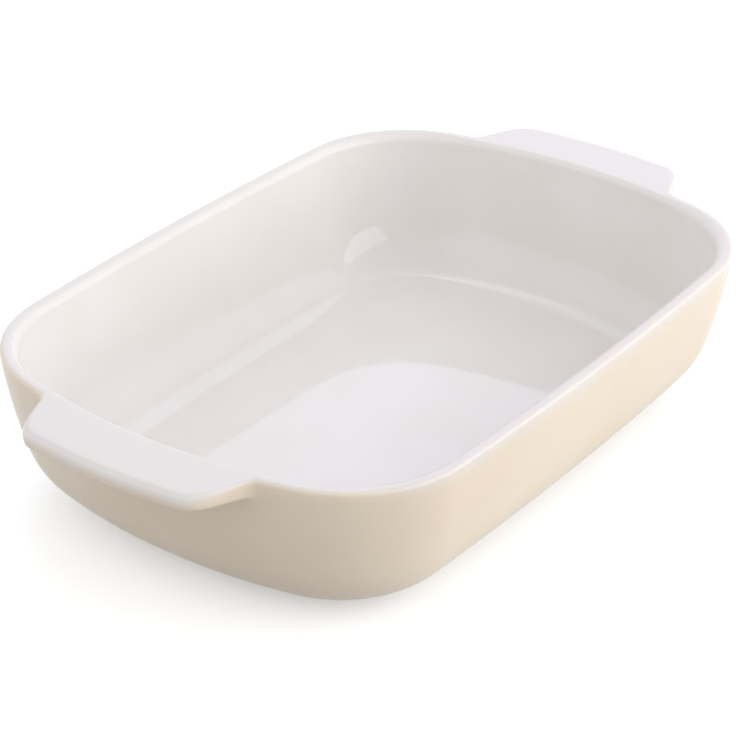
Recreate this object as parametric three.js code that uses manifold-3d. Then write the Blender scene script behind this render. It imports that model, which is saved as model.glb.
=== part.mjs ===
// A rectangular stoneware baking dish with two lug handles, glazed white inside and cream outside.
// Millimetres, +Z up. X runs from handle to handle. The origin is on the table, below the middle of the dish.
import * as THREE from "three";
import Module from "manifold-3d";

// The rim in plan, without the handles: four bowed sides joined by round corners
const rimLength = 330;
const rimWidth = 233;
const endRadius = 272; // bow of the short ends
const sideRadius = 2100; // bow of the long sides
const cornerRadius = 58;
const cornerShrink = 0.65; // how fast a corner gets tighter further in, per millimetre at the rim

// The wall in section
const dishHeight = 75;
const rimThickness = 7;
const rimRounding = 3;
const rimDraft = THREE.MathUtils.degToRad(6.4); // lean of the wall just below the rim
const wallRadius = 300; // the wall bellies out a little
const bottomFillet = 38; // wide sweep from the wall to the base
const innerFillet = 31;
const floorThickness = 7;

// The foot: a bare ring that the dish stands on
const footHeight = 1.5;
const footSetback = 2; // from the end of the outer glaze to the ring
const footWidth = 7;
const footChamfer = 0.5;

// The handles: lugs flush with the rim
const handleWidth = 110; // at the root
const handleReach = 24;
const handleTaper = 14; // how far each side leans in on its way out
const handleCornerBlend = 10; // rounding of the outer corners
const handleRootBlend = 5; // flare of the sides into the rim
const handleEdge = 7.5; // depth of the outer edge
const handleRoot = 11; // depth where the underside meets the wall
const handleFillet = 3.5; // sweep of the underside into the wall
const handleEdgeShare = 0.8; // share of the reach where the edge's rounding ends
const handleFilletShare = 0.3; // share of the reach where the sweep into the wall begins

// Coats and joints
const glazeThickness = 0.5;
const bondGap = 0.3; // between a coat and its clay, and between the lugs and the basin
const glazeSplit = THREE.MathUtils.degToRad(55); // where white meets cream on the rim's outer rounding

// Facets
const cornerSteps = 5;
const handleSideSteps = 7;
const footSteps = 2;
const archSteps = { sweep: 4, wall: 1, rounding: 2, lug: 2 };

const halfLength = rimLength / 2;
const halfWidth = rimWidth / 2;
const rounding = Math.min(rimRounding, 0.45 * rimThickness);
const floorHeight = footHeight + floorThickness;
const shoulderHeight = dishHeight - rounding; // where the rim's rounding meets the wall
const clayDepth = glazeThickness + bondGap; // from the glazed surface to the clay

// Plan outline

// The arcs of one quadrant of the outline, a given distance inside the rim.
function quadrantArcs(inset) {
  const endR = endRadius - inset;
  const sideR = sideRadius - inset;
  const corner = cornerRadius * Math.exp((-cornerShrink * inset) / cornerRadius);
  const endX = halfLength - endRadius;
  const sideY = halfWidth - sideRadius;
  // The corner's centre lies endR - corner from the end arc's centre and sideR - corner from the side arc's.
  const span = Math.hypot(endX, sideY);
  const along = ((endR - corner) ** 2 - (sideR - corner) ** 2 + span ** 2) / (2 * span);
  const across = Math.sqrt((endR - corner) ** 2 - along ** 2);
  const toSide = new THREE.Vector2(-endX, sideY).divideScalar(span);
  const centre = new THREE.Vector2(endX, 0)
    .addScaledVector(toSide, along)
    .add(new THREE.Vector2(-toSide.y, toSide.x).multiplyScalar(across));
  const endTurn = Math.atan2(centre.y, centre.x - endX);
  const sideTurn = Math.atan2(centre.y - sideY, centre.x);
  return [
    { x: endX, y: 0, r: endR, from: 0, to: endTurn },
    { x: centre.x, y: centre.y, r: corner, from: endTurn, to: sideTurn },
    { x: 0, y: sideY, r: sideR, from: sideTurn, to: Math.PI / 2 },
  ];
}

const rimArcs = quadrantArcs(0);
const arcLengths = rimArcs.map((arc) => arc.r * (arc.to - arc.from));

// Which arc, and what share of it, lies at a distance along the rim from the middle of an end.
function stationAt(distance) {
  let left = distance;
  let arc = 0;
  while (arc < 2 && left > arcLengths[arc]) {
    left -= arcLengths[arc];
    arc += 1;
  }
  return { arc, share: Math.min(left / arcLengths[arc], 1), distance };
}

// Smooth versions of the smaller and the larger of two numbers.
function blendMin(a, b, size) {
  const h = Math.max(size - Math.abs(a - b), 0);
  return Math.min(a, b) - (h * h) / (4 * size);
}
const blendMax = (a, b, size) => -blendMin(-a, -b, size);

// How far the handle stands out of the rim, at a distance along the rim from the middle of an end.
function handleReachAt(distance) {
  const side = ((handleWidth / 2 - distance) * handleReach) / handleTaper;
  return blendMax(0, blendMin(handleReach, side, handleCornerBlend), handleRootBlend);
}

// Where sections are taken along a quadrant of the rim: close together where the handle's side flares.
function quadrantDistances() {
  const flat = handleWidth / 2 - handleTaper;
  const sideStart = flat - handleCornerBlend / 3;
  const sideEnd = handleWidth / 2 + handleRootBlend / 2;
  const distances = [0, sideStart / 2, (5 * sideStart) / 6];
  for (let i = 0; i <= handleSideSteps; i++)
    distances.push(THREE.MathUtils.lerp(sideStart, sideEnd, i / handleSideSteps));
  const rest = [];
  for (let i = 0; i <= cornerSteps; i++) rest.push(arcLengths[0] + (arcLengths[1] * i) / cornerSteps);
  const total = arcLengths[0] + arcLengths[1] + arcLengths[2];
  rest.push(total - arcLengths[2] / 2, total);
  const clear = sideEnd + handleTaper / 4;
  return [...distances, ...rest.filter((distance) => distance > clear)];
}

// Every section round the dish, anticlockwise from the middle of the right end.
function sectionsAround() {
  const quarter = quadrantDistances().map(stationAt);
  const back = quarter.slice(0, -1).reverse();
  const mirrored = (list, mirrorX, mirrorY) => list.map((station) => ({ ...station, mirrorX, mirrorY }));
  return [
    ...mirrored(quarter, 1, 1),
    ...mirrored(back, -1, 1),
    ...mirrored(quarter.slice(1), -1, -1),
    ...mirrored(back.slice(0, -1), 1, -1),
  ];
}

// A point of a section: inside the rim on the tighter outline there, outside it straight out from the rim.
function sectionPoint(station, inset, height) {
  const arc = quadrantArcs(Math.max(inset, 0))[station.arc];
  const turn = THREE.MathUtils.lerp(arc.from, arc.to, station.share);
  const radius = arc.r + Math.max(-inset, 0);
  return new THREE.Vector3(
    station.mirrorX * (arc.x + radius * Math.cos(turn)),
    station.mirrorY * (arc.y + radius * Math.sin(turn)),
    height,
  );
}

// Section profile

const arcPoints = (count, place) => Array.from({ length: count + 1 }, (_, i) => place(i / count));

// The wall's outer curve and its concentric inner one turn about this point: x is the inset, y the height.
const wallCentre = new THREE.Vector2(
  wallRadius * Math.cos(rimDraft),
  shoulderHeight + wallRadius * Math.sin(rimDraft),
);
const onWall = (radius, lean) => ({
  inset: wallCentre.x - radius * Math.cos(lean),
  height: wallCentre.y - radius * Math.sin(lean),
});
const innerWallRadius = wallRadius - rimThickness;

// Centre of a fillet that touches the inside of a wall curve and a level plane below it.
function filletCentre(radius, wallCurve, level) {
  const height = level + radius;
  const reach = wallCurve - radius;
  return new THREE.Vector2(wallCentre.x - Math.sqrt(reach ** 2 - (wallCentre.y - height) ** 2), height);
}
const leanTowards = (point) => Math.atan2(wallCentre.y - point.y, wallCentre.x - point.x);

// The inside, from the edge of the flat floor up to the rim.
function insideRows() {
  const centre = filletCentre(innerFillet, innerWallRadius, floorHeight);
  const topLean = Math.asin((wallCentre.y - shoulderHeight) / innerWallRadius);
  const sweep = arcPoints(archSteps.sweep, (t) => {
    const lean = THREE.MathUtils.lerp(Math.PI / 2, leanTowards(centre), t);
    return {
      inset: centre.x - innerFillet * Math.cos(lean),
      height: centre.y - innerFillet * Math.sin(lean),
    };
  });
  const wall = arcPoints(archSteps.wall, (t) =>
    onWall(innerWallRadius, THREE.MathUtils.lerp(leanTowards(centre), topLean, t)),
  ).slice(1);
  const rimInset = wall.at(-1).inset;
  const round = arcPoints(archSteps.rounding, (t) => ({
    inset: rimInset - rounding * (1 - Math.cos((t * Math.PI) / 2)),
    height: shoulderHeight + rounding * Math.sin((t * Math.PI) / 2),
  })).slice(1);
  return [...sweep, ...wall, ...round].map((row) => ({ ...row, lug: 0 }));
}

// The rim's outer rounding. Its rows stand out by the handle's whole reach, so the handle's top stays flush.
function outerRounding(angle) {
  return {
    inset: rounding * (1 - Math.cos(angle)),
    height: shoulderHeight + rounding * Math.sin(angle),
    lug: 1,
  };
}

// The handle's outer edge and underside: x is the share of the handle's reach, y the depth below the rim.
function lugPath() {
  const undersideDepth = (share) => THREE.MathUtils.lerp(handleRoot, handleEdge, share);
  const path = new THREE.Path();
  path.moveTo(1, (rounding + handleEdge) / 2);
  path.quadraticCurveTo(1, handleEdge, handleEdgeShare, undersideDepth(handleEdgeShare));
  path.lineTo(handleFilletShare, undersideDepth(handleFilletShare));
  path.quadraticCurveTo(0, handleRoot, 0, handleRoot + handleFillet);
  return path;
}

// The outside, from below the split in the glaze to the flat of the base.
function outsideRows() {
  const wallRow = (height, lug) => {
    const lean = Math.asin((wallCentre.y - height) / wallRadius);
    return { inset: onWall(wallRadius, lean).inset, height, lug };
  };
  const lug = lugPath()
    .getPoints(archSteps.lug)
    .map((point) => wallRow(dishHeight - point.y, point.x));
  const centre = filletCentre(bottomFillet, wallRadius, footHeight);
  const endLean = leanTowards(centre);
  const startLean = Math.asin((wallCentre.y - lug.at(-1).height) / wallRadius);
  const wall = arcPoints(archSteps.wall, (t) =>
    onWall(wallRadius, THREE.MathUtils.lerp(startLean, endLean, t)),
  ).slice(1);
  const round = arcPoints(archSteps.sweep, (t) => {
    const lean = THREE.MathUtils.lerp(endLean, Math.PI / 2, t);
    return {
      inset: centre.x - bottomFillet * Math.cos(lean),
      height: centre.y - bottomFillet * Math.sin(lean),
    };
  }).slice(1);
  const low = [...wall, ...round].map((row) => ({ ...row, lug: 0 }));
  const flat = { inset: low.at(-1).inset + footSetback / 2, height: footHeight, lug: 0 };
  return [outerRounding(0), ...lug, ...low, flat];
}

const splitTurn = bondGap / 2 / rounding;
const whiteRows = [...insideRows(), outerRounding(Math.PI / 2), outerRounding(glazeSplit + splitTurn)];
const creamRows = [outerRounding(glazeSplit - splitTurn), ...outsideRows()];
const glazeEndInset = creamRows.at(-1).inset;

// Surfaces and solids

// The glazed surface as a grid of points, rows first, with or without the handles.
function glazedGrid(sections, rows, withHandles) {
  return rows.map((row) =>
    sections.map((station) => {
      const reach = withHandles ? handleReachAt(station.distance) : 0;
      return sectionPoint(station, row.inset - reach * row.lug, row.height);
    }),
  );
}

// The direction of a curve at one of its points, from unevenly spaced neighbours.
function tangent(before, here, after) {
  const back = here.clone().sub(before);
  const ahead = after.clone().sub(here);
  const ratio = back.length() / ahead.length();
  return ahead.multiplyScalar(ratio).addScaledVector(back, 1 / ratio);
}

// Outward unit normals of a grid. Its first row is the level floor and its last the level base.
function gridNormals(grid) {
  const round = grid[0].length;
  return grid.map((row, r) =>
    row.map((point, i) => {
      if (r === 0) return new THREE.Vector3(0, 0, 1);
      if (r === grid.length - 1) return new THREE.Vector3(0, 0, -1);
      const across = tangent(grid[r - 1][i], point, grid[r + 1][i]);
      const along = tangent(row[(i + round - 1) % round], point, row[(i + 1) % round]);
      return across.cross(along).normalize();
    }),
  );
}

// The grid sunk below the glazed surface by a depth.
function sunk(grid, normals, depth) {
  return grid.map((row, r) => row.map((point, i) => point.clone().addScaledVector(normals[r][i], -depth)));
}

// A closed mesh from rings of points. Neighbouring rings are joined, and a cap closes the first and last ones
// unless the rings run in a loop.
function ringSolid(rings, looped = false) {
  const round = rings[0].length;
  const points = rings.flat();
  const faces = [];
  const bands = looped ? rings.length : rings.length - 1;
  for (let r = 0; r < bands; r++) {
    const here = r * round;
    const next = ((r + 1) % rings.length) * round;
    for (let i = 0; i < round; i++) {
      const j = (i + 1) % round;
      // The facets' diagonals mirror from quadrant to quadrant, as the dish does.
      const otherWay = points[i].x * points[i].y + points[j].x * points[j].y > 0;
      if (otherWay) faces.push(here + i, next + i, here + j, here + j, next + i, next + j);
      else faces.push(here + i, next + i, next + j, here + i, next + j, here + j);
    }
  }
  const cap = (ring, start, flip) => {
    const middle = ring.reduce((sum, point) => sum.add(point), new THREE.Vector3()).divideScalar(round);
    const hub = points.push(middle) - 1;
    for (let i = 0; i < round; i++) {
      const j = (i + 1) % round;
      faces.push(hub, start + (flip ? j : i), start + (flip ? i : j));
    }
  };
  if (!looped) {
    cap(rings[0], 0, false);
    cap(rings.at(-1), (rings.length - 1) * round, true);
  }
  return new THREE.BufferGeometry().setFromPoints(points).setIndex(faces);
}

const wasm = await Module();
wasm.setup();

function toSolid(geometry) {
  return new wasm.Manifold(
    new wasm.Mesh({
      numProp: 3,
      vertProperties: new Float32Array(geometry.getAttribute("position").array),
      triVerts: new Uint32Array(geometry.index.array),
    }),
  );
}

function toGeometry(solid) {
  const mesh = solid.getMesh();
  return new THREE.BufferGeometry()
    .setAttribute("position", new THREE.BufferAttribute(mesh.vertProperties, 3))
    .setIndex(new THREE.BufferAttribute(mesh.triVerts, 1));
}

// A flat outline of tangent arcs, for the foot and the coat on the base.
function outlineAt(inset) {
  const shape = new THREE.Shape();
  const arcs = quadrantArcs(inset);
  const mirrors = [
    [1, 1, false],
    [-1, 1, true],
    [-1, -1, false],
    [1, -1, true],
  ];
  for (const [mirrorX, mirrorY, backwards] of mirrors) {
    for (const arc of backwards ? [...arcs].reverse() : arcs) {
      const turns = [arc.from, arc.to].map((turn) =>
        Math.atan2(mirrorY * Math.sin(turn), mirrorX * Math.cos(turn)),
      );
      if (backwards) turns.reverse();
      shape.absarc(mirrorX * arc.x, mirrorY * arc.y, arc.r, turns[0], turns[1], false);
    }
  }
  return shape;
}

// Pieces

const sections = sectionsAround();
const allRows = [...whiteRows, ...creamRows];
const glazed = glazedGrid(sections, allRows, true);
const glazedNormals = gridNormals(glazed);
const plain = glazedGrid(sections, allRows, false);
const plainNormals = gridNormals(plain);

// The pressed clay basin: floor and walls, without the lugs.
const basinGeometry = () => ringSolid(sunk(plain, plainNormals, clayDepth));

// The two clay lugs: what the handled body has beyond the basin and its joint.
function lugGeometries() {
  const handled = toSolid(ringSolid(sunk(glazed, glazedNormals, clayDepth)));
  const basin = toSolid(ringSolid(sunk(plain, plainNormals, clayDepth - bondGap)));
  const lugs = handled
    .subtract(basin)
    .decompose()
    .sort((a, b) => b.volume() - a.volume())
    .slice(0, 2)
    .sort((a, b) => a.boundingBox().min[0] - b.boundingBox().min[0]);
  return lugs.map(toGeometry);
}

// A coat of glaze over some rows of the glazed surface.
function coatGeometry(first, count, overFloor) {
  const outer = glazed.slice(first, first + count);
  const inner = sunk(glazed, glazedNormals, glazeThickness).slice(first, first + count);
  return ringSolid([...outer, ...inner.reverse()], !overFloor);
}

function footGeometry() {
  const start = glazeEndInset + footSetback / 2 + footChamfer;
  const ring = outlineAt(start);
  ring.holes.push(outlineAt(start + footWidth - 2 * footChamfer));
  const depth = footHeight + clayDepth - bondGap - 2 * footChamfer;
  return new THREE.ExtrudeGeometry(ring, {
    depth,
    curveSegments: footSteps,
    bevelEnabled: true,
    bevelThickness: footChamfer,
    bevelSize: footChamfer,
    bevelSegments: 1,
  }).translate(0, 0, footChamfer);
}

function baseCoatGeometry() {
  const inset = glazeEndInset + footSetback / 2 + footWidth + footSetback / 2;
  return new THREE.ExtrudeGeometry(outlineAt(inset), {
    depth: glazeThickness,
    curveSegments: footSteps,
    bevelEnabled: false,
  }).translate(0, 0, footHeight);
}

// Finishes
const clay = { color: 0xd9c7ae, roughness: 0.85, metalness: 0 };
const whiteGlaze = { color: 0xf1efec, roughness: 0.15, metalness: 0 };
const creamGlaze = { color: 0xf0dfc6, roughness: 0.35, metalness: 0 };

const dish = new THREE.Group();

function addPiece(name, geometry, finish) {
  const mesh = new THREE.Mesh(geometry, new THREE.MeshStandardMaterial(finish));
  mesh.name = name;
  dish.add(mesh);
}

const [leftLug, rightLug] = lugGeometries();
addPiece("clay_basin", basinGeometry(), clay);
addPiece("left_handle", leftLug, clay);
addPiece("right_handle", rightLug, clay);
addPiece("foot_ring", footGeometry(), clay);
addPiece("liner_glaze", coatGeometry(0, whiteRows.length, true), whiteGlaze);
addPiece("outer_glaze", coatGeometry(whiteRows.length, creamRows.length, false), creamGlaze);
addPiece("base_glaze", baseCoatGeometry(), creamGlaze);

export default dish;
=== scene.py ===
import math

import bpy
import numpy as np
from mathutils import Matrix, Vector


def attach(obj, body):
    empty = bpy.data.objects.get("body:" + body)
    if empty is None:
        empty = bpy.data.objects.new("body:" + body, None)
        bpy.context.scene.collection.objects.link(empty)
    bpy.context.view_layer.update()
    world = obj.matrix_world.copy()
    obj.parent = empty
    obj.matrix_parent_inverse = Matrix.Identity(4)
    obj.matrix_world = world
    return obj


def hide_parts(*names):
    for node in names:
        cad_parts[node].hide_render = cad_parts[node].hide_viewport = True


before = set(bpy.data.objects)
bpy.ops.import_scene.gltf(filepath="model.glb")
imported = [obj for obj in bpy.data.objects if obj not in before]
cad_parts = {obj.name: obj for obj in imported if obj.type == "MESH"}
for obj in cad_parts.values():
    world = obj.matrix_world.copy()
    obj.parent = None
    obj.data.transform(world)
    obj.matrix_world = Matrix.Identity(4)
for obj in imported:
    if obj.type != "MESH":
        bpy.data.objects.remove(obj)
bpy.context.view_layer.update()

# Sizes of the dish in millimetres, as in the CAD model
MM = 0.001
HALF_LENGTH, HALF_WIDTH, HEIGHT = 165.0, 116.5, 75.0
END_RADIUS, SIDE_RADIUS = 272.0, 2100.0
CORNER_RADIUS, CORNER_SHRINK = 58.0, 0.65
RIM_THICKNESS, ROUNDING = 7.0, 3.0
DRAFT, WALL_RADIUS = math.radians(6.4), 300.0
BOTTOM_FILLET, INNER_FILLET, FLOOR_THICKNESS = 38.0, 31.0, 7.0
FOOT_HEIGHT, FOOT_SETBACK, FOOT_WIDTH, FOOT_EDGE = 1.5, 2.0, 7.0, 0.5
HANDLE_WIDTH, HANDLE_REACH, HANDLE_TAPER = 110.0, 24.0, 14.0
HANDLE_CORNER_BLEND, HANDLE_ROOT_BLEND = 10.0, 5.0
HANDLE_EDGE, HANDLE_ROOT, HANDLE_FILLET = 7.5, 11.0, 3.5
HANDLE_EDGE_SHARE, HANDLE_FILLET_SHARE = 0.8, 0.3
GLAZE, BOND_GAP, SPLIT = 0.5, 0.3, math.radians(55)

SHOULDER = HEIGHT - ROUNDING
FLOOR_LEVEL = FOOT_HEIGHT + FLOOR_THICKNESS
CLAY_DEPTH = GLAZE + BOND_GAP

# Roundings that only the visible glaze has
INNER_EDGE, RIM_EDGE, HANDLE_TOP_EDGE = 4.6, 2.0, 4.0

# Distances past the handle over which the inner rounding and the line of the cream change
EDGE_FADE, SIDE_FADE = (3.0, 25.0), (40.0, 95.0)

# Distances past the rim's edge at which the cream starts and is full, on the ends, handles and sides
CREAM_START, CREAM_FULL = (-1.0, 2.8, -3.0), (3.5, 9.0, 13.0)

# Numbers of sections along a quarter of the rim, and of rows and rings in the parts of a section
MIDDLE_SECTIONS, CORNER_SECTIONS, SIDE_SECTIONS = 12, 60, 18
TAPER_STEP, TAPER_MARGIN = 1.0, 8.0
INNER_FILLET_ROWS, LIP_ROWS, WALL_ROWS, SPLIT_ROWS = 18, 22, 9, 5
CREAM_EDGE_ROWS, LUG_ROWS, LUG_FILLET_ROWS, BOTTOM_ROWS, FOOT_EDGE_ROWS = 8, 7, 9, 20, 5
FLOOR_RINGS, BASE_RINGS, FIRST_RING = 16, 8, 0.08


# Plan of the dish

def quadrant(inset):
    """Centres, radii and turns of the three arcs of a quarter outline, a distance inside the rim."""
    end_r, side_r = END_RADIUS - inset, SIDE_RADIUS - inset
    corner = CORNER_RADIUS * np.exp(-CORNER_SHRINK * inset / CORNER_RADIUS)
    end_x, side_y = HALF_LENGTH - END_RADIUS, HALF_WIDTH - SIDE_RADIUS
    span = math.hypot(end_x, side_y)
    along = ((end_r - corner) ** 2 - (side_r - corner) ** 2 + span**2) / (2 * span)
    across = np.sqrt((end_r - corner) ** 2 - along**2)
    to_side = -end_x / span, side_y / span
    x = end_x + to_side[0] * along - to_side[1] * across
    y = to_side[1] * along + to_side[0] * across
    end_turn, side_turn = np.arctan2(y, x - end_x), np.arctan2(y - side_y, x)
    flat = np.zeros_like(corner)
    return (
        (flat + end_x, x, flat),
        (flat, y, flat + side_y),
        (end_r, corner, side_r),
        (flat, end_turn, side_turn),
        (end_turn, side_turn, flat + math.pi / 2),
    )


ARC_LENGTHS = [float(r * (b - a)) for r, a, b in zip(*quadrant(np.array(0.0))[2:])]


def quarter_distances():
    """Where sections are taken along a quarter of the rim: close on the handle's side and in the corner."""
    half = HANDLE_WIDTH / 2
    corner_end = ARC_LENGTHS[0] + ARC_LENGTHS[1]
    taper = np.arange(half - HANDLE_TAPER - TAPER_MARGIN, half + TAPER_MARGIN, TAPER_STEP)
    middle = np.linspace(0, taper[0], MIDDLE_SECTIONS, endpoint=False)
    corner = np.linspace(taper[-1] + TAPER_STEP, corner_end, CORNER_SECTIONS, endpoint=False)
    side = np.linspace(corner_end, sum(ARC_LENGTHS), SIDE_SECTIONS)
    return np.concatenate([middle, taper, corner, side])


def sections():
    """Arc, share of the arc, distance and mirror signs of every section, from the right end round."""
    distance = quarter_distances()
    bounds = np.cumsum([0, *ARC_LENGTHS])
    arc = np.clip(np.searchsorted(bounds, distance, side="left") - 1, 0, 2)
    share = np.clip((distance - bounds[arc]) / np.array(ARC_LENGTHS)[arc], 0, 1)
    quarter = np.stack([arc, share, distance])
    back = quarter[:, :-1][:, ::-1]
    turns = [(quarter, 1, 1), (back, -1, 1), (quarter[:, 1:], -1, -1), (back[:, :-1], 1, -1)]
    signs = [np.tile([[sx], [sy]], part.shape[1]) for part, sx, sy in turns]
    return np.concatenate([np.concatenate([p[0] for p in turns], 1), np.concatenate(signs, 1)])


ARC, SHARE, DISTANCE, SIGN_X, SIGN_Y = sections()


def plan(inset):
    """Plan points of every section for insets that may differ from section to section."""
    arcs = quadrant(np.maximum(inset, 0))
    x, y, radius, start, stop = [np.select([ARC == 0, ARC == 1], kind[:2], kind[2]) for kind in arcs]
    radius = radius + np.maximum(-inset, 0)
    turn = start + (stop - start) * SHARE
    return SIGN_X * (x + radius * np.cos(turn)), SIGN_Y * (y + radius * np.sin(turn))


def blend_min(a, b, size):
    """The smaller of two values, with a smooth change from one to the other."""
    gap = np.maximum(size - np.abs(a - b), 0)
    return np.minimum(a, b) - gap**2 / (4 * size)


def smooth_step(value, start, end):
    """A smooth change from 0 to 1 between two values."""
    share = np.clip((value - start) / (end - start), 0, 1)
    return share * share * (3 - 2 * share)


SIDE_LINE = (HANDLE_WIDTH / 2 - DISTANCE) * HANDLE_REACH / HANDLE_TAPER
REACH = -blend_min(0.0, -blend_min(HANDLE_REACH, SIDE_LINE, HANDLE_CORNER_BLEND), HANDLE_ROOT_BLEND)
ON_HANDLE = np.clip(REACH / HANDLE_REACH, 0, 1)
PAST_HANDLE = smooth_step(DISTANCE - HANDLE_WIDTH / 2, *EDGE_FADE)
ON_SIDE = smooth_step(DISTANCE - HANDLE_WIDTH / 2, *SIDE_FADE)


def along_rim(on_end, on_handle, on_side):
    """A value that differs between the ends, the handles and the long sides."""
    return on_end + (on_handle - on_end) * ON_HANDLE + (on_side - on_end) * ON_SIDE


# Section of the wall: rows of inset, height and share of the handle's reach

WALL_X = WALL_RADIUS * math.cos(DRAFT)
WALL_Z = SHOULDER + WALL_RADIUS * math.sin(DRAFT)
INNER_RADIUS = WALL_RADIUS - RIM_THICKNESS


def on_wall(radius, height):
    """Inset of a wall's curve at a height."""
    return WALL_X - np.sqrt(radius**2 - (WALL_Z - height) ** 2)


def fillet(radius, wall, level):
    """Inset and height of a fillet's centre, and its lean where it meets the wall."""
    z = level + radius
    x = WALL_X - math.sqrt((wall - radius) ** 2 - (WALL_Z - z) ** 2)
    return x, z, math.atan2(WALL_Z - z, WALL_X - x)


def sweep(radius, wall, level, steps):
    """Rows of a fillet, from the level plane up to the wall."""
    x, z, lean = fillet(radius, wall, level)
    angles = np.linspace(math.pi / 2, lean, steps)
    return [(x - radius * math.cos(a), z - radius * math.sin(a), 0.0) for a in angles]


def bezier(a, b, c, steps):
    """Points of a curve from a to c that b pulls."""
    t = np.linspace(0, 1, steps)[:, None]
    return (1 - t) ** 2 * np.array(a) + 2 * t * (1 - t) * np.array(b) + t**2 * np.array(c)


def outer_rounding(angles):
    """Rows of the rounding outside the rim, which is wider on the handles."""
    radius = RIM_EDGE + (HANDLE_TOP_EDGE - RIM_EDGE) * ON_HANDLE
    return [(radius * (1 - math.cos(a)), HEIGHT - radius * (1 - math.sin(a)), 1.0) for a in angles]


def inner_rounding(angles):
    """Rows of the rounding inside the rim, which is wider away from the handles."""
    radius = ROUNDING + (INNER_EDGE - ROUNDING) * PAST_HANDLE
    rim = on_wall(INNER_RADIUS, HEIGHT - radius)
    return [(rim - radius * (1 - math.cos(a)), HEIGHT - radius * (1 - math.sin(a)), 0.0) for a in angles]


def white_rows():
    """Rows from the dish's floor up the inside and over the rim, to where the outer coat starts."""
    low = sweep(INNER_FILLET, INNER_RADIUS, FLOOR_LEVEL, INNER_FILLET_ROWS)
    lip = inner_rounding(np.linspace(0, math.pi / 2, LIP_ROWS))
    shares = np.linspace(0, 1, WALL_ROWS)[1:-1]
    heights = [low[-1][1] + (lip[0][1] - low[-1][1]) * share for share in shares]
    wall = [(on_wall(INNER_RADIUS, z), z, 0.0) for z in heights]
    edge = outer_rounding(np.linspace(math.pi / 2, SPLIT, SPLIT_ROWS))
    inner, outer = lip[-1][0], edge[0][0]
    top = [(inner + (outer - inner) * t, HEIGHT, t) for t in shares]
    return low + wall + lip + top + edge


def lug_path():
    """Shares of the reach and depths of a handle's edge, underside and root."""
    def underside(share):
        return share, HANDLE_ROOT + (HANDLE_EDGE - HANDLE_ROOT) * share

    edge_start = 1, (HANDLE_TOP_EDGE + HANDLE_EDGE) / 2
    edge, root = underside(HANDLE_EDGE_SHARE), underside(HANDLE_FILLET_SHARE)
    root_end = 0, HANDLE_ROOT + HANDLE_FILLET
    parts = [
        bezier(edge_start, (1, HANDLE_EDGE), edge, LUG_ROWS),
        np.linspace(edge, root, LUG_ROWS)[1:],
        bezier(root, (0, HANDLE_ROOT), root_end, LUG_FILLET_ROWS)[1:],
    ]
    return np.concatenate(parts)


def cream_rows():
    """Rows from where the outer coat starts, down the outside and under to the foot."""
    lug = [(on_wall(WALL_RADIUS, HEIGHT - depth), HEIGHT - depth, share) for share, depth in lug_path()]
    base = sweep(BOTTOM_FILLET, WALL_RADIUS, FOOT_HEIGHT, BOTTOM_ROWS)[::-1]
    heights = np.linspace(lug[-1][1], base[0][1], WALL_ROWS)[1:-1]
    wall = [(on_wall(WALL_RADIUS, z), z, 0.0) for z in heights]
    flat = (base[-1][0] + FOOT_SETBACK / 2, FOOT_HEIGHT, 0.0)
    return outer_rounding(np.linspace(SPLIT, 0, CREAM_EDGE_ROWS)) + lug + wall + base + [flat]


WHITE, CREAM = white_rows(), cream_rows()
FOOT_START = CREAM[-1][0] + FOOT_SETBACK / 2
FOOT_END = FOOT_START + FOOT_WIDTH


def grid(rows, reach):
    """Points of the glazed surface, rows first."""
    points = []
    for inset, height, share in rows:
        x, y = plan(inset - reach * share)
        points.append(np.stack([x, y, np.broadcast_to(height, x.shape)], 1))
    return np.array(points)


def normals(points):
    """Outward normals of the glazed surface, which starts level on the floor and ends level on the base."""
    def slope(before, here, after):
        back, ahead = here - before, after - here
        ratio = np.linalg.norm(back, axis=-1, keepdims=True) / np.linalg.norm(ahead, axis=-1, keepdims=True)
        return ahead * ratio + back / ratio

    found = np.zeros_like(points)
    around = slope(np.roll(points, 1, 1), points, np.roll(points, -1, 1))
    across = slope(points[:-2], points[1:-1], points[2:])
    found[1:-1] = np.cross(across, around[1:-1])
    found[0], found[-1] = (0, 0, 1), (0, 0, -1)
    return found / np.linalg.norm(found, axis=-1, keepdims=True)


def cream_share(points):
    """How far the white has given way to cream, by the distance past the top edge of the rim."""
    edge_row = next(r for r, row in enumerate(WHITE) if row[2] == 1.0)
    steps = np.linalg.norm(np.diff(points, axis=0), axis=-1)
    path = np.concatenate([np.zeros((1, points.shape[1])), np.cumsum(steps, 0)])
    return smooth_step(path - path[edge_row], along_rim(*CREAM_START), along_rim(*CREAM_FULL))


surface = grid(WHITE + CREAM[1:], REACH)
outward = normals(surface)
sunk = surface - outward * GLAZE
cream_shares = cream_share(surface)
split_row = len(WHITE) - 1


# Meshes

def ring_faces(first, second, count):
    """Quads between two rings of vertices, given the number of each ring's first vertex."""
    i = np.arange(count)
    j = (i + 1) % count
    return np.stack([first + i, second + i, second + j, first + j], 1).tolist()


def rings_mesh(rings, shading, looped):
    """Vertices, faces and normals of a solid from rings of points, in a loop or capped at both ends."""
    rings, shading = np.asarray(rings), np.asarray(shading)
    count = rings.shape[1]
    points = rings.reshape(-1, 3)
    directions = shading.reshape(-1, 3)
    faces = []
    bands = len(rings) if looped else len(rings) - 1
    for r in range(bands):
        faces += ring_faces(r * count, (r + 1) % len(rings) * count, count)
    if not looped:
        hubs = np.stack([rings[0].mean(0), rings[-1].mean(0)])
        points = np.concatenate([points, hubs])
        directions = np.concatenate([directions, shading[[0, -1], 0]])
        last = (len(rings) - 1) * count
        hub = len(rings) * count
        for i in range(count):
            j = (i + 1) % count
            faces.append([hub, i, j])
            faces.append([hub + 1, last + j, last + i])
    return points, faces, directions


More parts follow.
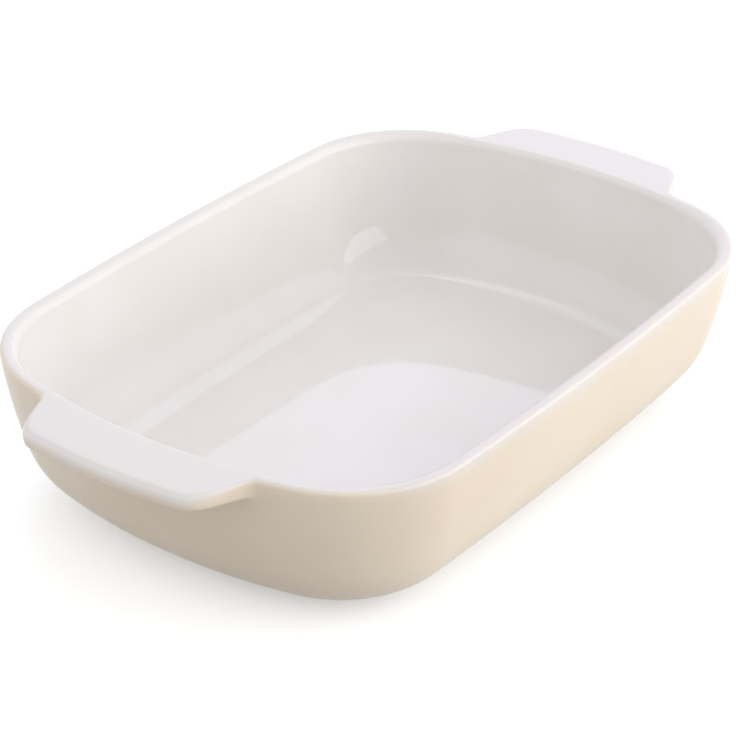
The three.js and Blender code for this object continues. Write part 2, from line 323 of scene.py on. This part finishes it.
def floor_rings(edge, steps):
    """Rings that fill a level outline, from near its middle to its edge."""
    shares = np.linspace(FIRST_RING, 1, steps, endpoint=False)
    middle = np.array([0.0, 0.0, edge[0, 2]])
    return np.array([middle + (edge - middle) * share for share in shares])


def level_ring(inset, height):
    """A ring of points at one inset and height."""
    x, y = plan(np.full_like(SHARE, inset))
    return np.stack([x, y, np.full_like(x, height)], 1)


def liner_mesh():
    """The white coat over the floor, the inside and the rim, with its share of cream."""
    floor, under = floor_rings(surface[0], FLOOR_RINGS), floor_rings(sunk[0], FLOOR_RINGS)
    up = np.broadcast_to([0.0, 0.0, 1.0], floor.shape)
    rows = slice(split_row + 1)
    shown, hidden, facing = surface[rows], sunk[rows], outward[rows]
    rings = np.concatenate([floor, shown, hidden[::-1], under[::-1]])
    level = np.zeros(floor.shape[:2])
    shares = np.concatenate([level, cream_shares[rows], cream_shares[rows][::-1], level])
    mesh = rings_mesh(rings, np.concatenate([up, facing, -facing[::-1], -up]), False)
    return *mesh, np.append(shares, [0.0, 0.0])


def outer_mesh():
    """The coat over the outside, with its share of cream."""
    rows = slice(split_row, None)
    shown, hidden, facing = surface[rows], sunk[rows], outward[rows]
    shares = np.concatenate([cream_shares[rows], cream_shares[rows][::-1]])
    mesh = rings_mesh(np.concatenate([shown, hidden[::-1]]), np.concatenate([facing, -facing[::-1]]), True)
    return *mesh, shares.ravel()


def basin_mesh():
    """The clay under the coats, without the handles."""
    plain = grid(WHITE + CREAM[1:], np.zeros_like(REACH))
    facing = normals(plain)
    points, faces, directions = rings_mesh(plain - facing * CLAY_DEPTH, facing, False)
    return points, faces, directions, np.zeros(len(points))


def foot_mesh():
    """The foot's section runs round from its outer edge under to the inner one, with worn round corners."""
    top = FOOT_HEIGHT + CLAY_DEPTH - BOND_GAP
    turns = np.linspace(0, math.pi / 2, FOOT_EDGE_ROWS)
    outer = [(FOOT_START + FOOT_EDGE * (1 - math.cos(a)), FOOT_EDGE * (1 - math.sin(a))) for a in turns]
    inner = [(FOOT_START + FOOT_END - inset, z) for inset, z in outer[::-1]]
    section = [(FOOT_START, top), *outer, *inner, (FOOT_END, top)]
    rings = [level_ring(inset, z) for inset, z in section]
    points, faces, _ = rings_mesh(rings, np.zeros_like(rings), True)
    return points, faces, None, np.zeros(len(points))


def base_mesh():
    """The coat under the dish, inside the foot."""
    inset = FOOT_END + FOOT_SETBACK / 2
    top, bottom = level_ring(inset, FOOT_HEIGHT + GLAZE), level_ring(inset, FOOT_HEIGHT)
    inside, outside = floor_rings(top, BASE_RINGS), floor_rings(bottom, BASE_RINGS)
    rings = np.concatenate([inside, [top], [bottom], outside[::-1]])
    points, faces, _ = rings_mesh(rings, np.zeros_like(rings), False)
    return points, faces, None, np.ones(len(points))


def make_piece(name, points, faces, shading, shares, material, slot, replaced):
    """An object from a mesh in millimetres, which shows in place of the CAD's own nodes."""
    mesh = bpy.data.meshes.new(name)
    mesh.from_pydata((np.asarray(points) * MM).tolist(), [], faces)
    mesh.update()
    mesh.shade_smooth()
    if shading is not None:
        mesh.normals_split_custom_set_from_vertices(np.asarray(shading).tolist())
    mesh.attributes.new("cream_share", "FLOAT", "POINT").data.foreach_set("value", shares)
    mesh.materials.append(material)
    piece = bpy.data.objects.new(name, mesh)
    bpy.context.scene.collection.objects.link(piece)
    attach(piece, "root")
    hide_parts(*replaced)


# Materials

class Graph:
    """The nodes of a material or a world, added one by one."""

    def __init__(self, owner):
        owner.use_nodes = True
        self.owner = owner
        self.tree = owner.node_tree

    def add(self, kind, inputs=None, **settings):
        node = self.tree.nodes.new(kind)
        for key, value in settings.items():
            setattr(node, key, value)
        self.fill(node, inputs or {})
        return node

    def fill(self, node, inputs):
        """Links sockets to a node's inputs, or writes plain values there."""
        for key, value in inputs.items():
            if isinstance(value, bpy.types.NodeSocket):
                self.tree.links.new(value, node.inputs[key])
            else:
                node.inputs[key].default_value = value

    def place(self):
        """The point's own place on the dish."""
        return self.add("ShaderNodeTexCoord").outputs["Object"]

    def height(self):
        return self.add("ShaderNodeSeparateXYZ", {"Vector": self.place()}).outputs["Z"]

    def noise(self, scale, detail, roughness=0.5):
        inputs = {"Vector": self.place(), "Scale": scale, "Detail": detail, "Roughness": roughness}
        return self.add("ShaderNodeTexNoise", inputs).outputs["Fac"]

    def ramp(self, value, low, high, to_low=0.0, to_high=1.0, kind="SMOOTHSTEP"):
        """A change from one value to another while the given one goes from low to high."""
        inputs = {"Value": value, "From Min": low, "From Max": high, "To Min": to_low, "To Max": to_high}
        return self.add("ShaderNodeMapRange", inputs, interpolation_type=kind).outputs["Result"]

    def math(self, operation, a, b):
        return self.add("ShaderNodeMath", {0: a, 1: b}, operation=operation).outputs[0]

    def mix(self, share, a, b):
        """Mixes two colours, whose sockets are the Mix node's seventh and eighth."""
        return self.add("ShaderNodeMix", {0: share, 6: a, 7: b}, data_type="RGBA").outputs[2]

    def specks(self, scale, share, size, core=0.4, cut=0.01):
        """Small round spots, full inside their core, in a share of the cells of a random grid."""
        cells = self.add("ShaderNodeTexVoronoi", {"Vector": self.place(), "Scale": scale})
        picked = self.add("ShaderNodeSeparateColor", {"Color": cells.outputs["Color"]}).outputs["Red"]
        chosen = self.ramp(picked, 1 - share - cut, 1 - share)
        spot = self.ramp(cells.outputs["Distance"], size, size * core)
        return self.math("MULTIPLY", chosen, spot)

    def bump(self, height, distance):
        return self.add("ShaderNodeBump", {"Height": height, "Strength": 1.0, "Distance": distance})

    def seen(self):
        """1 for rays that show the background: from the camera, or by way of gloss or glass."""
        path = self.add("ShaderNodeLightPath").outputs
        shown = self.math("MAXIMUM", path["Is Camera Ray"], path["Is Glossy Ray"])
        return self.math("MAXIMUM", shown, path["Is Transmission Ray"])


def linear(*rgb):
    """Linear colour from 8-bit display values."""
    values = [v / 255 for v in rgb]
    return [v / 12.92 if v <= 0.04045 else ((v + 0.055) / 1.055) ** 2.4 for v in values] + [1.0]


WHITE_THICK, WHITE_THIN = linear(239, 235, 233), linear(236, 231, 228)
# Painted shade: a darker white for the rim and handle tops, which the lamps light too brightly from above
RIM_PAINTED_SHADE = linear(230, 225, 222)
CREAM_THICK, CREAM_THIN = linear(247, 232, 211), linear(244, 227, 204)
GLAZE_SPECK, SPECK_STRENGTH = linear(196, 172, 140), 0.12
CLAY_LIGHT, CLAY_DARK = linear(226, 210, 186), linear(202, 183, 156)
CLAY_SPECK, CLAY_SPECK_STRENGTH = linear(150, 126, 98), 0.6
GLAZE_IOR, CLAY_IOR = 1.5, 1.45

# Roughness of the white glaze, what cream and the rim add to it, and the clay's
GLOSS, CREAM_MATT, RIM_MATT = (0.035, 0.065), 0.3, 0.2
CLAY_ROUGHNESS = 0.78, 0.92

# Depths under the rim's top over which painted shade darkens the white on the up-facing rim and handle tops,
# and over which the glaze turns matt, in millimetres
RIM_SHADE_FADE, RIM_MATT_FADE = (1.0, 0.2), (25.0, 5.0)

# Depths of the surface's relief, in metres
RIPPLE, ORANGE_PEEL, CLAY_GRAIN = 0.00003, 0.000002, 0.00012

# Values of the noise between which a change runs its course, and how far the cream's edge wanders
CLOUDS, SPREAD, GRAINS = (0.35, 0.7), (0.3, 0.7), (0.35, 0.68)
UNEVEN = 0.08


def rim_fade(g, depths, most):
    """Rises to its most between two depths under the rim's top."""
    start, end = [(HEIGHT - depth) * MM for depth in depths]
    return g.ramp(g.height(), start, end, 0.0, most)


def glaze_normal(g):
    """The slow ripple of a melted glaze under its fine orange peel."""
    ripple = g.bump(g.noise(scale=38, detail=1.0), RIPPLE)
    peel = g.bump(g.noise(scale=700, detail=2.0), ORANGE_PEEL)
    g.fill(peel, {"Normal": ripple.outputs["Normal"]})
    return peel.outputs["Normal"]


def glaze(name):
    """White glaze that gives way to cream by the mesh's own share of it, is matt at the rim, and has painted
    shade darkening the tops of the rim and handles.
    """
    g = Graph(bpy.data.materials.new(name))
    white = g.mix(g.ramp(g.noise(scale=16, detail=3.0), *CLOUDS), WHITE_THICK, WHITE_THIN)
    # Painted shade: over the top millimetre of the rim and handles the white darkens to the rim's shade
    # colour
    white = g.mix(rim_fade(g, RIM_SHADE_FADE, 1.0), white, RIM_PAINTED_SHADE)
    cream = g.mix(g.ramp(g.noise(scale=14, detail=4.0), *CLOUDS), CREAM_THICK, CREAM_THIN)
    share = g.add("ShaderNodeAttribute", attribute_name="cream_share").outputs["Fac"]
    wander = g.ramp(g.noise(scale=45, detail=3.0), *SPREAD, -UNEVEN, UNEVEN)
    uneven = g.math("ADD", share, wander)
    share = g.ramp(uneven, UNEVEN, 1 - UNEVEN, kind="LINEAR")
    specks = g.math("MULTIPLY", g.specks(scale=240, share=0.05, size=0.13), SPECK_STRENGTH)
    colour = g.mix(specks, g.mix(share, white, cream), GLAZE_SPECK)
    gloss = g.ramp(g.noise(scale=90, detail=3.0), *SPREAD, *GLOSS)
    matt = g.math("MAXIMUM", rim_fade(g, RIM_MATT_FADE, RIM_MATT), g.ramp(share, 0, 1, 0.0, CREAM_MATT))
    roughness = g.math("ADD", gloss, matt)
    inputs = {"Base Color": colour, "Roughness": roughness, "IOR": GLAZE_IOR, "Normal": glaze_normal(g)}
    g.fill(g.tree.nodes["Principled BSDF"], inputs)
    return g.owner


def stoneware():
    """Bare fired clay with a fine grain and darker specks."""
    g = Graph(bpy.data.materials.new("stoneware"))
    grain = g.ramp(g.noise(scale=420, detail=5.0, roughness=0.65), *GRAINS)
    specks = g.math("MULTIPLY", g.specks(scale=500, share=0.12, size=0.2), CLAY_SPECK_STRENGTH)
    colour = g.mix(specks, g.mix(grain, CLAY_LIGHT, CLAY_DARK), CLAY_SPECK)
    roughness = g.ramp(grain, 0, 1, *CLAY_ROUGHNESS)
    relief = g.bump(g.noise(scale=900, detail=4.0, roughness=0.6), CLAY_GRAIN)
    normal = relief.outputs["Normal"]
    inputs = {"Base Color": colour, "Roughness": roughness, "IOR": CLAY_IOR, "Normal": normal}
    g.fill(g.tree.nodes["Principled BSDF"], inputs)
    return g.owner


white, cream, clay = glaze("white_glaze"), glaze("cream_glaze"), stoneware()
make_piece("liner_coat", *liner_mesh(), white, "white_glaze", ["liner_glaze"])
make_piece("outer_coat", *outer_mesh(), cream, "cream_glaze", ["outer_glaze"])
make_piece("base_coat", *base_mesh(), cream, "cream_glaze", ["base_glaze"])
make_piece("foot", *foot_mesh(), clay, "stoneware", ["foot_ring"])
make_piece("basin", *basin_mesh(), clay, "stoneware", ["clay_basin"])
for node in ("left_handle", "right_handle"):
    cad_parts[node].data.materials.clear()
    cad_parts[node].data.materials.append(clay)


# Studio, in metres, with directions as azimuth and elevation in degrees

FLOOR_HALF_SIZE, FLOOR_LIFT = 6.0, 0.36
FLOOR_TONE, FLOOR_SEEN_TONE = (0.39, 0.4, 0.41, 1), (0.955, 0.98, 1.0, 1)
ROOM_LIGHT, ROOM_SEEN, ROOM_COLOUR = 0.68, 1.0, (1, 1, 1, 1)
LAMP_DISTANCE, LAMP_TARGET = 2.0, Vector((0, 0, 0.03))
WARM, COOL, BLUE = (1.0, 0.99, 0.985), (0.97, 0.98, 1.0), (0.68, 0.69, 1.0)
CAMERA_SENSOR, CAMERA_LENS = 36.0, 120.98
CAMERA_AIM, CAMERA_DISTANCE = (-53.765, 29.501), 1.119453
CAMERA_TARGET = Vector((-0.000666, 0.006126, 0.0315))


def studio_floor():
    """Pale paper that keeps the dish's shadow and is lifted to white where it is seen."""
    g = Graph(bpy.data.materials.new("studio_floor"))
    g.tree.nodes.remove(g.tree.nodes["Principled BSDF"])
    seen = g.seen()
    paper = g.add("ShaderNodeBsdfDiffuse", {"Color": g.mix(seen, FLOOR_TONE, FLOOR_SEEN_TONE)})
    lift = g.add("ShaderNodeEmission", {"Strength": g.math("MULTIPLY", seen, FLOOR_LIFT)})
    both = g.add("ShaderNodeAddShader", {0: paper.outputs[0], 1: lift.outputs[0]})
    g.fill(g.tree.nodes["Material Output"], {"Surface": both.outputs[0]})
    mesh = bpy.data.meshes.new("studio_floor")
    corners = [(x * FLOOR_HALF_SIZE, y * FLOOR_HALF_SIZE, 0) for x, y in ((-1, -1), (1, -1), (1, 1), (-1, 1))]
    mesh.from_pydata(corners, [], [(0, 1, 2, 3)])
    mesh.materials.append(g.owner)
    floor = bpy.data.objects.new("studio_floor", mesh)
    bpy.context.scene.collection.objects.link(floor)


def surroundings():
    """An even pale room, which shows as plain white."""
    g = Graph(bpy.data.worlds.new("studio"))
    strength = g.ramp(g.seen(), 0, 1, ROOM_LIGHT, ROOM_SEEN, kind="LINEAR")
    g.fill(g.tree.nodes["Background"], {"Color": ROOM_COLOUR, "Strength": strength})
    bpy.context.scene.world = g.owner


def direction(azimuth, elevation):
    """Unit vector from the dish towards a lamp or the camera."""
    a, e = math.radians(azimuth), math.radians(elevation)
    return Vector((math.sin(a) * math.cos(e), -math.cos(a) * math.cos(e), math.sin(e)))


def add_looking(name, data, target, aim, distance):
    """Adds a lamp or a camera that looks at a target."""
    away = direction(*aim)
    item = bpy.data.objects.new(name, data)
    item.location = target + away * distance
    item.rotation_euler = away.to_track_quat("Z", "Y").to_euler()
    bpy.context.scene.collection.objects.link(item)
    return item


def softbox(name, aim, size, radiance, colour):
    """A soft box that looks at the dish. Its power gives the radiance that its face shows."""
    width, height = size
    lamp = bpy.data.lights.new(name, "AREA")
    lamp.shape, lamp.size, lamp.size_y = "RECTANGLE", width, height
    lamp.energy = radiance * math.pi * width * height
    lamp.color = colour
    add_looking(name, lamp, LAMP_TARGET, aim, LAMP_DISTANCE)


studio_floor()
surroundings()
softbox("key", aim=(15, 27), size=(2.2, 1.5), radiance=1.45, colour=WARM)
softbox("side", aim=(60, 27), size=(0.8, 1.45), radiance=0.3, colour=WARM)
softbox("low", aim=(32, 4.5), size=(2.6, 0.42), radiance=2.5, colour=WARM)
softbox("left", aim=(-135, 30), size=(2.8, 2.0), radiance=0.35, colour=WARM)
softbox("top", aim=(142, 62), size=(0.85, 0.25), radiance=1.3, colour=COOL)
softbox("back", aim=(125, 38), size=(1.65, 1.8), radiance=0.8, colour=BLUE)

# Camera at the photograph's angle
camera_data = bpy.data.cameras.new("camera")
camera_data.sensor_width = CAMERA_SENSOR
camera_data.lens = CAMERA_LENS
camera = add_looking("camera", camera_data, CAMERA_TARGET, CAMERA_AIM, CAMERA_DISTANCE)
bpy.context.scene.camera = camera
bpy.context.scene.view_settings.view_transform = "Standard"
